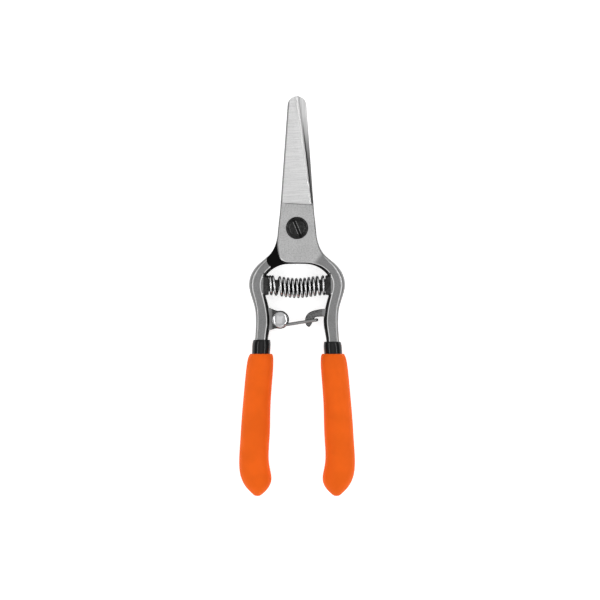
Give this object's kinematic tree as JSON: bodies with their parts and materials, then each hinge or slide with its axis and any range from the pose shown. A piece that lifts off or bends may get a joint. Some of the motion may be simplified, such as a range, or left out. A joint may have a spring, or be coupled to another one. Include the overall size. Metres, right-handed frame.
{
  "type": "floral snips",
  "caption": "Flower-cutting snips with long straight blades on a slotted pivot bolt, coil return spring, swinging wire latch and dipped two-colour grips.",
  "frame": {"origin": "on the pivot axis, at the outer end face of the pivot nut, the lowest plane of the tool when it lies on its back", "axes": "+Y to the blade tips, +Z from the nut to the slotted bolt head, +X to the handle with the hook, which is the right hand handle seen from the bolt head"},
  "size_m": [0.059, 0.2032, 0.0134],
  "materials": {
    "blade_steel": "forged and blackened in the recesses, brushed on the faces, ground bright on the blades",
    "bolt_steel": "dark oiled steel",
    "spring_wire": "bright plated wire",
    "rivet_chrome": "polished",
    "black_dip": "smooth glossy dipped vinyl",
    "orange_grip": "softly textured dipped vinyl"
  },
  "bodies": {
    "rear_half": {"rear_blade": "blade_steel", "left_sleeve": "black_dip", "left_grip": "orange_grip", "pivot_bolt": "bolt_steel", "pivot_washer": "bolt_steel", "lock_washer": "bolt_steel", "pivot_nut": "bolt_steel", "latch_rivet": "rivet_chrome", "latch_washer": "spring_wire", "return_spring": "spring_wire"},
    "front_half": {"front_blade": "blade_steel", "right_sleeve": "black_dip", "right_grip": "orange_grip"},
    "latch": {"latch_bail": "spring_wire"}
  },
  "joints": [
    {"name": "pivot", "type": "hinge", "parent": "rear_half", "child": "front_half", "pos_m": [0, 0, 0.0067], "axis": [0, 0, 1], "range_deg": [0, 16], "deforming": ["return_spring"]},
    {"name": "latch_swing", "type": "hinge", "parent": "rear_half", "child": "latch", "pos_m": [-0.00863, -0.0465, 0.0067], "axis": [0, 0, 1], "range_deg": [-96, 0]}
  ],
  "couplings": [
    {"joint": "latch_swing", "follows": "pivot", "ratio": -5.9375}
  ]
}
